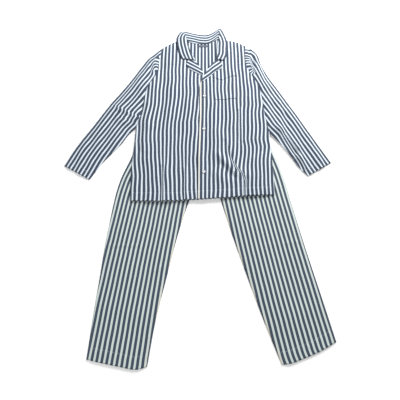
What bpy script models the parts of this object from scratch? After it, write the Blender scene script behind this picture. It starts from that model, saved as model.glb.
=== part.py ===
"""Pyjama set laid flat: a striped coat-style top over a pair of striped trousers.

Every cloth piece is one sheet with a wall. A panel is a patch stretched between four outline curves.
A sleeve, a leg and the waistband are patches wrapped round a fold: back wall, fold, front wall.
The outlines are short tables of points in millimetres; all else is in metres. +Y points to the neck,
+Z up, and the set lies on z = 0 with the middle of its outline over the origin.
"Left" and "right" are the wearer's, so the wearer's left lies at +X.
"""
import bmesh
import bpy
import numpy as np

MM = 0.001
COLLECTION = "pyjama_set"

# Cloth and how it lies
CLOTH = 1.2 * MM            # wall of each cloth piece
SEAM_LIFT = 1.5 * MM        # middle of one wall to middle of the next where two edges are sewn
FOLD_LIFT = 1.9 * MM        # the same where one sheet is folded over
TROUSER_LOFT = 3.6 * MM     # the same in the middle of a leg
TOP_LOFT = 3.9 * MM         # the same in the middle of the top and its sleeves
EDGE_ROUND = 16 * MM        # how soon the walls draw together near an edge
STACK = 5.5 * MM            # height of the trousers where the top lies over them
STACK_SLOPE = 150 * MM      # run over which the top comes down from them to the floor
OVERLAP_LIFT = 2.1 * MM     # how far the left front is raised where it lies over the right front
OVERLAP_FADE = 60 * MM      # run over which that rise dies away
LIE_ON = 2.0 * MM           # middle of a panel to middle of a piece that lies on it
SEAM_GAP = 0.3 * MM         # between the ends of two pieces that are sewn edge to edge

# Grids: cells across and along each piece
PANEL_COLUMNS = 8
SIDE_ROWS = 6
ARMHOLE_ROWS = 10
SLEEVE_ROWS = 12
LEG_COLUMNS = 8
LEG_ROWS = 16
RISE_ROWS = 5
FOLD_CELLS = 3
WAIST_COLUMNS = 10
WAIST_ROWS = 2
COLLAR_COLUMNS = 26
COLLAR_ROWS = 7

# Trousers: x, y of each outline point
RIGHT_LEG_OUTER = [(-361, -726), (-350, -503), (-335, -274), (-308, -71), (-269, 44), (-232, 220), (-212, 320)]
RIGHT_LEG_INNER = [(-163, -747), (-144, -616), (-109, -454), (-67, -274), (-38, -176), (31, 45)]
RIGHT_LEG_HEM = [(-361, -726), (-298, -739), (-254, -747), (-192, -755), (-163, -747)]
LEFT_LEG_OUTER = [(461, -673), (434, -537), (399, -366), (363, -176), (337, -37), (302, 85), (262, 230), (238, 335)]
LEFT_LEG_INNER = [(275, -741), (230, -616), (177, -454), (122, -274), (95, -176), (31, 45)]
LEFT_LEG_HEM = [(461, -673), (403, -702), (334, -728), (304, -738), (275, -741)]
CENTRE_SEAM = [(31, 45), (22, 180), (14, 325)]
WAIST_DEPTH = 35 * MM

# Top: each line runs upwards, except the hems, which run from the front edge to the side
RIGHT_SIDE = [(-262, -165), (-268, -50), (-265, 90), (-264, 175)]
RIGHT_ARMHOLE = [(-264, 175), (-248, 240), (-241, 310), (-225, 398), (-193, 465), (-184, 535), (-174, 628)]
LEFT_SIDE = [(301, -139), (304, -37), (303, 60), (303, 150)]
LEFT_ARMHOLE = [(303, 150), (292, 210), (286, 300), (274, 388), (255, 445), (231, 500), (220, 568), (227, 646)]
RIGHT_SHOULDER = [(-68, 688), (-110, 672), (-140, 655), (-174, 628)]
LEFT_SHOULDER = [(101, 697), (138, 684), (186, 670), (227, 646)]
BACK_NECK = [(-68, 688), (-46, 677), (-20, 668), (10, 665), (40, 665), (72, 677), (101, 697)]
BACK_HEM = [(-262, -165), (-127, -167), (0, -160), (120, -151), (301, -139)]
RIGHT_FRONT_HEM = [(38, -157), (-28, -161), (-127, -167), (-262, -165)]
LEFT_FRONT_HEM = [(-2, -160), (86, -154), (181, -146), (301, -139)]
RIGHT_FRONT_EDGE = [(38, -157), (43, 117), (47, 326), (46, 430), (31, 462), (2, 523), (-15, 549),
                    (-34, 566), (-48, 592), (-58, 624), (-66, 660), (-68, 688)]
LEFT_FRONT_EDGE = [(-2, -160), (-1, 20), (7, 219), (6, 326), (13, 421), (31, 462), (61, 523), (87, 553),
                   (100, 570), (104, 592), (108, 624), (110, 660), (101, 697)]
UNDER_EDGE_X = 46 * MM      # where the right front ends below the left front
OVERLAP_TOP_Y = 500 * MM    # above this the two fronts part and no longer overlap

# Sleeves: outer fold from the shoulder to the cuff, underarm seam, and cuff from the fold to the seam
RIGHT_SLEEVE_FOLD = [(-174, 628), (-207, 592), (-237, 561), (-258, 524), (-295, 452), (-335, 382), (-378, 315),
                     (-447, 188), (-512, 68), (-544, -9)]
RIGHT_SLEEVE_SEAM = [(-264, 175), (-291, 144), (-317, 99), (-350, 56), (-383, 14), (-414, -36), (-434, -72)]
LEFT_SLEEVE_FOLD = [(227, 646), (254, 624), (276, 596), (295, 524), (322, 452), (358, 382), (425, 250),
                    (484, 127), (544, 5)]
LEFT_SLEEVE_SEAM = [(303, 150), (336, 107), (376, 49), (413, -17), (444, -55)]

# Lapels: the turned-out part of each facing, from the gorge down to the break of the front
LAPEL_COLUMNS = ("roll_x", "roll_y", "edge_x", "edge_y")
RIGHT_LAPEL = [(-15, 546, -50, 548), (-6, 533, -54, 524), (4, 517, -42, 502), (16, 492, -12, 478), (25, 469, 16, 460)]
LEFT_LAPEL = [(89, 553, 111, 536), (76, 540, 112, 512), (61, 523, 90, 489), (40, 484, 60, 457),
              (28, 457, 40, 436), (16, 429, 22, 418)]
LAPEL_ROLL_LIFT = 3.4 * MM   # middle of the front to middle of the lapel along its roll
LAPEL_PUFF = 1.2 * MM        # extra height half way across the lapel

# Collar: one strip, in sections from its right end round the back to its left end. Each section runs
# from the neck seam over the roll to the free edge; low_z and high_z steer the two sides of the roll.
COLLAR_COLUMN_NAMES = ("seam_x", "seam_y", "seam_z", "low_z", "roll_x", "roll_y", "high_z",
                       "edge_x", "edge_y", "edge_z")
COLLAR_SECTIONS = [
    (-37, 566, 6.7, 5.6, -15, 552, 16.0, -78, 562, 8.4),
    (-52, 592, 6.7, 5.6, -32, 590, 17.5, -89, 587, 8.4),
    (-62, 624, 6.7, 5.6, -43, 624, 18.0, -96, 614, 8.4),
    (-71, 652, 6.2, 5.6, -53, 664, 18.0, -103, 652, 8.4),
    (-75, 670, 5.6, 6.0, -60, 698, 17.0, -104, 692, 9.0),
    (-67, 687, 4.6, 6.6, -69, 722, 12.0, -84, 732, 9.0),
    (-49, 677, 3.2, 4.6, -53, 706, 6.0, -58, 736, 5.4),
    (-18, 664, 2.4, 3.2, -20, 697, 3.8, -26, 729, 2.2),
    (15, 661, 2.4, 3.0, 15, 692, 3.4, 15, 720, 1.8),
    (44, 661, 2.4, 3.0, 46, 690, 3.4, 44, 720, 2.0),
    (74, 677, 3.2, 4.6, 78, 707, 6.5, 80, 737, 5.4),
    (97, 690, 4.6, 6.6, 101, 730, 13.0, 107, 754, 9.4),
    (113, 678, 5.6, 6.0, 102, 702, 17.0, 130, 706, 9.4),
    (116, 654, 6.2, 5.6, 97, 670, 18.0, 140, 664, 8.6),
    (112, 624, 6.7, 5.6, 93, 630, 18.0, 139, 622, 8.4),
    (108, 592, 6.7, 5.6, 91, 591, 17.5, 136, 584, 8.4),
    (103, 568, 6.7, 5.6, 89, 558, 16.0, 124, 550, 8.4),
]

# Chest pocket on the left front, and the bare neck label on the back
POCKET_MOUTH = [(70, 436), (91, 428), (117, 426), (136, 438), (154, 446), (172, 448)]
POCKET_BASE = [(73, 316), (122, 319), (172, 325)]
LABEL_CORNERS = ((0, 641), (47, 653))
LABEL_CLOTH = 1.0 * MM

# Buttons down the left front
BUTTON_CENTRES = [(29, 337), (26, 164), (24, -42)]
BUTTON_RADIUS = 6.5 * MM
BUTTON_THICKNESS = 2.6 * MM
BUTTON_BEVEL = 0.5 * MM
BUTTON_SIDES = 16
BUTTON_GAP = 0.5 * MM

# Largest folds of the top: a ridge along a line, with its half width and height in millimetres
FOLD_COLUMNS = ("x0", "y0", "x1", "y1", "half_width", "height")
TOP_FOLDS = [
    (90, 150, 189, -56, 30, 3.5),
    (194, -56, 197, -140, 26, 4.5),
    (-137, -10, -137, -160, 26, 3.5),
    (-370, 285, -262, 225, 30, 4.5),
    (318, 225, 410, 20, 30, 4.5),
    (285, 560, 300, 400, 30, 5.5),
    (-215, 545, -262, 400, 30, 4.0),
]

# Colours of the pieces: red, green, blue and roughness
STRIPED_COTTON = (0.36, 0.42, 0.50, 0.85)
TROUSER_COTTON = (0.34, 0.40, 0.44, 0.85)
LABEL_WEAVE = (0.04, 0.06, 0.12, 0.7)
BUTTON_SHELL = (0.80, 0.78, 0.70, 0.3)


def along(points, at):
    """Point at each fraction of a smooth line through the points: cubics between them, by chord length."""
    points = np.asarray(points, float)
    steps = np.linalg.norm(np.diff(points, axis=0), axis=1)
    knots = np.concatenate([[0], np.cumsum(steps)]) / steps.sum()
    slopes = np.gradient(points, knots, axis=0)
    cell = np.clip(np.searchsorted(knots, at, side="right") - 1, 0, len(knots) - 2)
    span = (knots[cell + 1] - knots[cell])[:, None]
    t = (at - knots[cell])[:, None] / span
    start = (2 * t**3 - 3 * t**2 + 1) * points[cell] + (t**3 - 2 * t**2 + t) * span * slopes[cell]
    end = (3 * t**2 - 2 * t**3) * points[cell + 1] + (t**3 - t**2) * span * slopes[cell + 1]
    return start + end


def outline(table, cells):
    """Evenly spaced points on the smooth line of a table, in metres."""
    return along(table, np.linspace(0, 1, cells + 1)) * MM


def joined(*lines):
    """Lines end to end, without repeating the point where they meet."""
    return np.concatenate([lines[0]] + [line[1:] for line in lines[1:]])


def fractions(line):
    """Distance along a line of points to each point, as a fraction of the whole."""
    steps = np.linalg.norm(np.diff(line, axis=0), axis=1)
    return np.concatenate([[0], np.cumsum(steps)]) / steps.sum()


def patch(start, end, base, top):
    """Flat grid between four lines (Coons patch).

    start and end hold a point for each row and base and top one for each column. Each grid point is
    the row blend plus the column blend less the blend of the four corners.
    """
    u = fractions(base)[None, :, None]
    v = fractions(start)[:, None, None]
    rows = (1 - u) * start[:, None] + u * end[:, None]
    columns = (1 - v) * base[None] + v * top[None]
    corners = (1 - v) * ((1 - u) * start[0] + u * end[0]) + v * ((1 - u) * start[-1] + u * end[-1])
    return rows + columns - corners


def distance(flat, line):
    """Distance in plan from each grid point to the nearest point of a line of points."""
    a, b = line[:-1], line[1:]
    ab = b - a
    t = np.clip(((flat[..., None, :] - a) * ab).sum(-1) / (ab**2).sum(-1), 0, 1)
    near = a + t[..., None] * ab
    return np.linalg.norm(flat[..., None, :] - near, axis=-1).min(-1)


def ease(t):
    """0 before 0, 1 after 1, smooth between."""
    t = np.clip(t, 0, 1)
    return t * t * (3 - 2 * t)


def spread(flat, loft, folds, seams):
    """Height of the front wall over the back wall: full in the middle, small along folds and seams."""
    lift = np.full(flat.shape[:-1], loft)
    for line, least in [(f, FOLD_LIFT) for f in folds] + [(s, SEAM_LIFT) for s in seams]:
        near = np.exp(-(distance(flat, line) / EDGE_ROUND) ** 2)
        lift = np.minimum(lift, loft - (loft - least) * near)
    return lift


def trouser_back(flat):
    """The back walls of the trousers lie on the floor."""
    return np.full(flat.shape[:-1], CLOTH / 2)


def trouser_front(flat):
    """The front walls of the trousers."""
    folds = [outline(RIGHT_LEG_OUTER, LEG_ROWS), outline(LEFT_LEG_OUTER, LEG_ROWS)]
    seams = [outline(RIGHT_LEG_INNER, LEG_ROWS), outline(LEFT_LEG_INNER, LEG_ROWS)]
    return trouser_back(flat) + spread(flat, TROUSER_LOFT, folds, seams)


def top_back(flat):
    """The back of the top lies over the trousers and comes down to the floor past their outline."""
    x, y = flat[..., 0], flat[..., 1]
    right, left = (outline(table, 4 * LEG_ROWS) for table in (RIGHT_LEG_OUTER, LEFT_LEG_OUTER))
    past_side = np.maximum(np.interp(y, right[:, 1], right[:, 0]) - x, x - np.interp(y, left[:, 1], left[:, 0]))
    past_waist = y - (left[-1, 1] + WAIST_DEPTH)
    outside = np.hypot(np.maximum(past_side, 0), np.maximum(past_waist, 0))
    return CLOTH / 2 + STACK * (1 - ease((outside - 0.006) / STACK_SLOPE))


def top_front(flat):
    """The fronts of the top and the front walls of its sleeves, with the largest folds."""
    folds = [outline(RIGHT_SLEEVE_FOLD, SLEEVE_ROWS), outline(LEFT_SLEEVE_FOLD, SLEEVE_ROWS)]
    tables = (RIGHT_SIDE, LEFT_SIDE, RIGHT_SHOULDER, LEFT_SHOULDER, RIGHT_SLEEVE_SEAM, LEFT_SLEEVE_SEAM)
    seams = [outline(table, SLEEVE_ROWS) for table in tables]
    lift = spread(flat, TOP_LOFT, folds, seams)
    ridges = np.zeros(flat.shape[:-1])
    for x0, y0, x1, y1, half_width, height in TOP_FOLDS:
        line = np.array([(x0, y0), (x1, y1)]) * MM
        ridges += height * MM * np.exp(-(distance(flat, line) / (half_width * MM)) ** 2)
    full = (lift - SEAM_LIFT) / (TOP_LOFT - SEAM_LIFT)
    return top_back(flat) + lift + ridges * np.clip(full, 0, 1)


def left_front(flat):
    """The left front, raised where it lies over the right front."""
    x, y = flat[..., 0], flat[..., 1]
    over = 1 - ease((x - UNDER_EDGE_X - 0.01) / OVERLAP_FADE)
    over *= 1 - ease((y - OVERLAP_TOP_Y) / OVERLAP_FADE)
    return top_front(flat) + OVERLAP_LIFT * over


def material(name, finish):
    """A plain Principled material: colour and roughness."""
    made = bpy.data.materials.new(name)
    made.use_nodes = True
    shader = made.node_tree.nodes["Principled BSDF"]
    shader.inputs["Base Color"].default_value = (*finish[:3], 1)
    shader.inputs["Roughness"].default_value = finish[3]
    shader.inputs["Metallic"].default_value = 0
    return made


def place(name, mesh, finish):
    """Put a mesh in the set's collection as an object with its own material."""
    mesh.materials.append(material(name + "_finish", finish))
    piece = bpy.data.objects.new(name, mesh)
    bpy.data.collections[COLLECTION].objects.link(piece)
    return piece


def sheet(name, points, finish, wall=CLOTH):
    """A sheet of cloth through a grid of points (rows, columns, xyz), with a wall centred on it."""
    rows, columns = points.shape[:2]
    grid = bmesh.new()
    bmesh.ops.create_grid(grid, x_segments=columns - 1, y_segments=rows - 1, size=1)
    for vert in grid.verts:
        column = round((vert.co.x + 1) / 2 * (columns - 1))
        row = round((vert.co.y + 1) / 2 * (rows - 1))
        vert.co = points[row, column]
    mesh = bpy.data.meshes.new(name)
    grid.to_mesh(mesh)
    grid.free()
    piece = place(name, mesh, finish)
    solid = piece.modifiers.new("wall", "SOLIDIFY")
    solid.thickness = wall
    solid.offset = 0
    return piece


def raised(flat, height):
    """A flat grid with its heights."""
    return np.concatenate([flat, height[..., None]], axis=-1)


def wrapped(flat, back, front):
    """Grid of a sheet folded along the flat grid's first column and sewn along its last.

    It runs over the back wall from the seam to the fold, half way round a circle, and back over
    the front wall to the seam.
    """
    low, high = back(flat), front(flat)
    radius = (high[:, 0] - low[:, 0]) / 2
    out = flat[:, 0] - flat[:, 1]
    out /= np.linalg.norm(out, axis=1)[:, None]
    bend = []
    for turn in np.linspace(0, np.pi, FOLD_CELLS + 1)[1:-1]:
        edge = flat[:, 0] + out * (radius * np.sin(turn))[:, None]
        bend.append(raised(edge, low[:, 0] + radius * (1 - np.cos(turn))))
    bend = np.stack(bend, axis=1)
    return np.concatenate([raised(flat, low)[:, ::-1], bend, raised(flat, high)], axis=1)


def sideways(line, by):
    """A line of points moved to its left by a distance."""
    run = np.gradient(line, axis=0)
    run /= np.linalg.norm(run, axis=1)[:, None]
    return line + by * np.stack([-run[:, 1], run[:, 0]], axis=1)


def leg(name, outer, inner, hem, side):
    """One leg in one sheet, folded at its outer side and sewn along the inseam and the centre seam."""
    rise = sideways(outline(CENTRE_SEAM, RISE_ROWS), -side * SEAM_GAP / 2)
    inseam = outline(inner, LEG_ROWS)
    inseam[-1] = rise[0]
    end = joined(inseam, rise)
    start = along(outer, fractions(end)) * MM
    base = outline(hem, LEG_COLUMNS)
    start[0], base[0], end[0] = base[0], base[0], base[-1]
    top = np.linspace(start[-1], end[-1], LEG_COLUMNS + 1)
    flat = patch(start, end, base, top)
    return sheet(name, wrapped(flat, trouser_back, trouser_front), TROUSER_COTTON)


def waistband():
    """The waist casing: a ring pressed flat, folded at the right side and sewn at the left side."""
    right, left = np.array(RIGHT_LEG_OUTER[-1]) * MM, np.array(LEFT_LEG_OUTER[-1]) * MM
    centre = np.array(CENTRE_SEAM[-1]) * MM
    base = joined(np.linspace(right, centre, WAIST_COLUMNS // 2 + 1), np.linspace(centre, left, WAIST_COLUMNS // 2 + 1))
    base = base + (0, SEAM_GAP)
    top = base + (0, WAIST_DEPTH)
    flat = patch(np.linspace(base[0], top[0], WAIST_ROWS + 1), np.linspace(base[-1], top[-1], WAIST_ROWS + 1), base, top)

    def front(points):
        ends = [np.array([base[0], top[0]])], [np.array([base[-1], top[-1]])]
        return trouser_back(points) + spread(points, TROUSER_LOFT, *ends)

    return sheet("waistband", wrapped(flat, trouser_back, front), TROUSER_COTTON)


def body_side(side, armhole):
    """Side seam and armhole as one line of row ends; the sleeve uses the armhole's own points."""
    return joined(outline(side, SIDE_ROWS), outline(armhole, ARMHOLE_ROWS))


def back():
    """The back panel, cut in one piece."""
    right, left = body_side(RIGHT_SIDE, RIGHT_ARMHOLE), body_side(LEFT_SIDE, LEFT_ARMHOLE)
    ends = PANEL_COLUMNS // 2
    top = joined(outline(RIGHT_SHOULDER, ends)[::-1], outline(BACK_NECK, PANEL_COLUMNS), outline(LEFT_SHOULDER, ends))
    base = along(BACK_HEM, fractions(top)) * MM
    flat = patch(right, left, base, top)
    return sheet("back", raised(flat, top_back(flat)), STRIPED_COTTON)


def front(name, edge, hem, shoulder, side, armhole, height):
    """A front panel, from its front edge and neckline to the side seam and armhole."""
    end = body_side(side, armhole)
    start = along(edge, fractions(end)) * MM
    flat = patch(start, end, outline(hem, PANEL_COLUMNS), outline(shoulder, PANEL_COLUMNS))
    return sheet(name, raised(flat, height(flat)), STRIPED_COTTON)


def sleeve(name, fold, seam, armhole, side):
    """A sleeve in one sheet, folded along its top and sewn under the arm, open at both ends."""
    start = outline(fold, SLEEVE_ROWS)
    end = outline(seam, SLEEVE_ROWS)
    cap = sideways(outline(armhole, ARMHOLE_ROWS)[::-1], side * SEAM_GAP)
    cuff = np.linspace(start[-1], end[-1], ARMHOLE_ROWS + 1)
    cap[0] += (start[1] - start[0]) / np.linalg.norm(start[1] - start[0]) * FOLD_LIFT
    start[0], end[0] = cap[0], cap[-1]
    flat = patch(start, end, cap, cuff)
    return sheet(name, wrapped(flat, top_back, top_front), STRIPED_COTTON)


def lapel(name, table, height):
    """The part of a front facing that shows: turned out from the roll over the front."""
    rows = along(np.array(table), np.linspace(0, 1, 2 * len(table) - 1)) * MM
    across = np.linspace(0, 1, 4)[:, None, None]
    flat = (1 - across) * rows[None, :, :2] + across * rows[None, :, 2:]
    rise = LAPEL_ROLL_LIFT + (LIE_ON - LAPEL_ROLL_LIFT) * across[..., 0]
    rise = rise + LAPEL_PUFF * np.sin(np.pi * across[..., 0])
    return sheet(name, raised(flat, height(flat) + rise), STRIPED_COTTON)


def collar():
    """The collar: a strip sewn to the neckline, flat behind the neck and folded over at both sides.

    Each section is a cubic Bezier curve whose two middle points stand over one another in plan.
    """
    rows = along(np.array(COLLAR_SECTIONS), np.linspace(0, 1, COLLAR_COLUMNS + 1)) * MM
    seam, low, roll, high, edge = rows[:, 0:3], rows[:, 3], rows[:, 4:6], rows[:, 6], rows[:, 7:10]
    turn = (8 * roll - seam[:, :2] - edge[:, :2]) / 6
    t = np.linspace(0, 1, COLLAR_ROWS + 1)[:, None, None]
    points = (1 - t) ** 3 * seam + 3 * t * (1 - t) ** 2 * raised(turn, low)
    points = points + 3 * t**2 * (1 - t) * raised(turn, high) + t**3 * edge
    return sheet("collar", points, STRIPED_COTTON)


def pocket():
    """The chest pocket: a patch of the left front's own surface, moved out."""
    mouth, base = outline(POCKET_MOUTH, 5), outline(POCKET_BASE, 5)
    flat = patch(np.linspace(base[0], mouth[0], 5), np.linspace(base[-1], mouth[-1], 5), base, mouth)
    return sheet("chest_pocket", raised(flat, left_front(flat) + LIE_ON), STRIPED_COTTON)


def neck_label():
    """The bare woven label inside the back neck."""
    (x0, y0), (x1, y1) = LABEL_CORNERS
    x, y = np.meshgrid(np.linspace(x0, x1, 3) * MM, np.linspace(y0, y1, 2) * MM)
    flat = np.stack([x, y], axis=-1)
    height = top_back(flat) + CLOTH / 2 + SEAM_GAP + LABEL_CLOTH / 2
    return sheet("neck_label", raised(flat, height), LABEL_WEAVE, LABEL_CLOTH)


def button(number, centre):
    """A button on the left front, seated on its thread shank."""
    at = np.array(centre) * MM
    height = left_front(at[None, None])[0, 0] + CLOTH / 2 + BUTTON_GAP + BUTTON_THICKNESS / 2
    disc = bmesh.new()
    bmesh.ops.create_cone(disc, cap_ends=True, segments=BUTTON_SIDES, radius1=BUTTON_RADIUS,
                          radius2=BUTTON_RADIUS, depth=BUTTON_THICKNESS)
    mesh = bpy.data.meshes.new(f"button_{number}")
    disc.to_mesh(mesh)
    disc.free()
    piece = place(f"button_{number}", mesh, BUTTON_SHELL)
    piece.location = (*at, height)
    bevel = piece.modifiers.new("rounded_rim", "BEVEL")
    bevel.width = BUTTON_BEVEL
    bevel.segments = 1
    return piece


for old in list(bpy.data.objects):
    bpy.data.objects.remove(old)
bpy.context.scene.collection.children.link(bpy.data.collections.new(COLLECTION))

leg("leg_right", RIGHT_LEG_OUTER, RIGHT_LEG_INNER, RIGHT_LEG_HEM, -1)
leg("leg_left", LEFT_LEG_OUTER, LEFT_LEG_INNER, LEFT_LEG_HEM, 1)
waistband()
back()
front("front_right", RIGHT_FRONT_EDGE, RIGHT_FRONT_HEM, RIGHT_SHOULDER, RIGHT_SIDE, RIGHT_ARMHOLE, top_front)
front("front_left", LEFT_FRONT_EDGE, LEFT_FRONT_HEM, LEFT_SHOULDER, LEFT_SIDE, LEFT_ARMHOLE, left_front)
sleeve("sleeve_right", RIGHT_SLEEVE_FOLD, RIGHT_SLEEVE_SEAM, RIGHT_ARMHOLE, -1)
sleeve("sleeve_left", LEFT_SLEEVE_FOLD, LEFT_SLEEVE_SEAM, LEFT_ARMHOLE, 1)
lapel("facing_right", RIGHT_LAPEL, top_front)
lapel("facing_left", LEFT_LAPEL, left_front)
collar()
pocket()
neck_label()
for count, where in enumerate(BUTTON_CENTRES, start=1):
    button(count, where)
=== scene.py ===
"""Pyjama set laid flat: a striped coat-style top over a pair of striped trousers.

Each cloth piece is a fine grid on the form of its frame solid, with a thin wall. The outlines are
smooth lines through short tables of points in millimetres; all else is in metres. +Y points to the
neck, +Z up, and the set lies on z = 0. "Left" and "right" are the wearer's; the wearer's left is +X.
Every grid point also knows where it lay in the flat cloth: "cut" holds metres across the stripes and
metres along them, so that the stripes follow each panel's own sway, pleats and turned edges.
"""

import bmesh
import bpy
import numpy as np
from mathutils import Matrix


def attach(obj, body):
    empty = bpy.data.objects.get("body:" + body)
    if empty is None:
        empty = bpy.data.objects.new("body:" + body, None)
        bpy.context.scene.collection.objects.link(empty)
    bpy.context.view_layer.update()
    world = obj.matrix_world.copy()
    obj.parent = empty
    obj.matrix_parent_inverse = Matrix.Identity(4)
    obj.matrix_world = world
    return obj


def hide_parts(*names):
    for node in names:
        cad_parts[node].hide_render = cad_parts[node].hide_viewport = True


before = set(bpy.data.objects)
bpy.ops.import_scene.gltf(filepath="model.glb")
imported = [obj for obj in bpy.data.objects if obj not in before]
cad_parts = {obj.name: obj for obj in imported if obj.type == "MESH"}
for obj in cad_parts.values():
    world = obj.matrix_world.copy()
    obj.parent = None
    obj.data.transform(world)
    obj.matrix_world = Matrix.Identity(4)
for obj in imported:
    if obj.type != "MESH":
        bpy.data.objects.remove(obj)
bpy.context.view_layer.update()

# ---------------------------------------------------------------------------------------------
# Right leg of the trousers: one panel of woven striped cotton, folded at the outer side and sewn
# along the inseam and the centre seam, with a turned and stitched hem. It lies under the top.
# ---------------------------------------------------------------------------------------------
MM = 0.001
WALL = 1.0 * MM              # shown wall of the cloth
SEAM_LIFT = 1.5 * MM         # middle of one wall to middle of the next where two edges are sewn
FOLD_LIFT = 1.9 * MM         # the same where one sheet is folded over
TROUSER_LOFT = 3.6 * MM      # the same in the middle of a leg
EDGE_ROUND = 16 * MM         # how soon the walls draw together near an edge
FLOOR_GAP = 0.6 * MM         # middle of the lowest wall over the floor
SEAM_GAP = 0.3 * MM
STRIPE = 16.5 * MM           # blue and white together, across the flat cloth
LEG_PITCH = 16.75 * MM       # what one stripe takes up as the legs lie
LEG_HEM = 38 * MM            # depth of the turned hem
HEM_STEP, HEM_GROOVE, GROOVE_WIDTH = 0.5 * MM, 0.7 * MM, 3 * MM
LEG_ROWS, LEG_COLUMNS, RISE_ROWS, BEND_CELLS = 190, 40, 48, 7
RIGHT_LEG_OUTER = [(-361, -726), (-350, -503), (-335, -274), (-308, -71), (-269, 44), (-232, 220), (-212, 320)]
RIGHT_LEG_INNER = [(-163, -747), (-144, -616), (-109, -454), (-67, -274), (-38, -176), (31, 45)]
RIGHT_LEG_HEM = [(-361, -726), (-298, -739), (-254, -747), (-192, -755), (-163, -747)]
LEFT_LEG_OUTER = [(461, -673), (434, -537), (399, -366), (363, -176), (337, -37), (302, 85),
                  (262, 230), (238, 335)]
LEFT_LEG_INNER = [(275, -741), (230, -616), (177, -454), (122, -274), (95, -176), (31, 45)]
LEFT_LEG_HEM = [(461, -673), (403, -702), (334, -728), (304, -738), (275, -741)]
CENTRE_SEAM = [(31, 45), (22, 180), (14, 325)]

# Soft creases: a ridge or, with a negative height, a trough along a line.
# Columns: x0, y0, x1, y1, half width, height
LEG_CREASES = [
    (-341, -346, -212, -346, 7, 1.0),
    (-300, -353, -225, -352, 6, -0.7),
    (-150, -436, -98, -410, 6, 1.0),
    (-170, -424, -120, -402, 6, -0.6),
    (326, -334, 390, -327, 7, 1.0),
    (255, -342, 320, -338, 8, 0.5),
    (-300, -560, -180, -600, 34, 1.2),
    (-290, -210, -250, -520, 40, 1.4),
    (-200, -200, -180, -520, 34, -1.0),
    (-125, -230, -140, -420, 26, 1.0),
    (-320, -560, -300, -700, 26, 1.0),
    (190, -250, 300, -600, 40, 1.4),
    (280, -230, 345, -520, 34, -1.0),
    (330, -180, 400, -500, 26, 1.0),
    (320, -600, 400, -560, 34, 1.2),
    (-215, -175, -225, -300, 26, 1.2),
    (225, -170, 240, -290, 26, 1.2),
]


def along(points, at):
    """Point at each fraction of a smooth line through the points: cubics between them, by chord length."""
    points = np.asarray(points, float)
    steps = np.linalg.norm(np.diff(points, axis=0), axis=1)
    knots = np.concatenate([[0], np.cumsum(steps)]) / steps.sum()
    slopes = np.gradient(points, knots, axis=0)
    cell = np.clip(np.searchsorted(knots, at, side="right") - 1, 0, len(knots) - 2)
    span = (knots[cell + 1] - knots[cell])[:, None]
    t = (at - knots[cell])[:, None] / span
    start = (2 * t**3 - 3 * t**2 + 1) * points[cell] + (t**3 - 2 * t**2 + t) * span * slopes[cell]
    end = (3 * t**2 - 2 * t**3) * points[cell + 1] + (t**3 - t**2) * span * slopes[cell + 1]
    return start + end


def outline(table, cells):
    """Evenly spaced points on the smooth line of a table, in metres."""
    return along(table, np.linspace(0, 1, cells + 1)) * MM


def joined(*lines):
    """Lines end to end, without repeating the point where they meet."""
    return np.concatenate([lines[0]] + [line[1:] for line in lines[1:]])


def run(line):
    """Distance along a line of points to each point."""
    return np.concatenate([[0], np.cumsum(np.linalg.norm(np.diff(line, axis=0), axis=1))])


def patch(start, end, base, top):
    """Flat grid between four lines: the row blend plus the column blend less that of the corners."""
    u = (run(base) / run(base)[-1])[None, :, None]
    v = (run(start) / run(start)[-1])[:, None, None]
    rows = (1 - u) * start[:, None] + u * end[:, None]
    columns = (1 - v) * base[None] + v * top[None]
    corners = (1 - v) * ((1 - u) * start[0] + u * end[0]) + v * ((1 - u) * start[-1] + u * end[-1])
    return rows + columns - corners


def nearest(flat, line):
    """Distance in plan from each grid point to a line of points, and how far along the line that is."""
    a, b = line[:-1], line[1:]
    ab = b - a
    t = np.clip(((flat[..., None, :] - a) * ab).sum(-1) / (ab**2).sum(-1), 0, 1)
    gap = np.linalg.norm(flat[..., None, :] - (a + t[..., None] * ab), axis=-1)
    best = gap.argmin(-1)[..., None]
    reach = run(line)[:-1] + t * np.linalg.norm(ab, axis=1)
    return np.take_along_axis(gap, best, -1)[..., 0], np.take_along_axis(reach, best, -1)[..., 0]


def ease(t):
    """0 before 0, 1 after 1, smooth between."""
    t = np.clip(t, 0, 1)
    return t * t * (3 - 2 * t)


def creases(flat, table):
    """Sum of the ridges and troughs of a table: height times a bell of the distance to the line."""
    rise = np.zeros(flat.shape[:-1])
    for x0, y0, x1, y1, half_width, height in table:
        gap, _ = nearest(flat, np.array([(x0, y0), (x1, y1)]) * MM)
        rise += height * MM * np.exp(-(gap / (half_width * MM)) ** 2)
    return rise


def spread(flat, loft, folds, seams):
    """Height of the front wall over the back wall: full in the middle, small along folds and seams."""
    lift = np.full(flat.shape[:-1], loft)
    for line, least in [(f, FOLD_LIFT) for f in folds] + [(s, SEAM_LIFT) for s in seams]:
        near = np.exp(-(nearest(flat, line)[0] / EDGE_ROUND) ** 2)
        lift = np.minimum(lift, loft - (loft - least) * near)
    return lift


def trouser_back(flat):
    """The back walls of the trousers lie on the floor."""
    return np.full(flat.shape[:-1], FLOOR_GAP)


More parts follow.
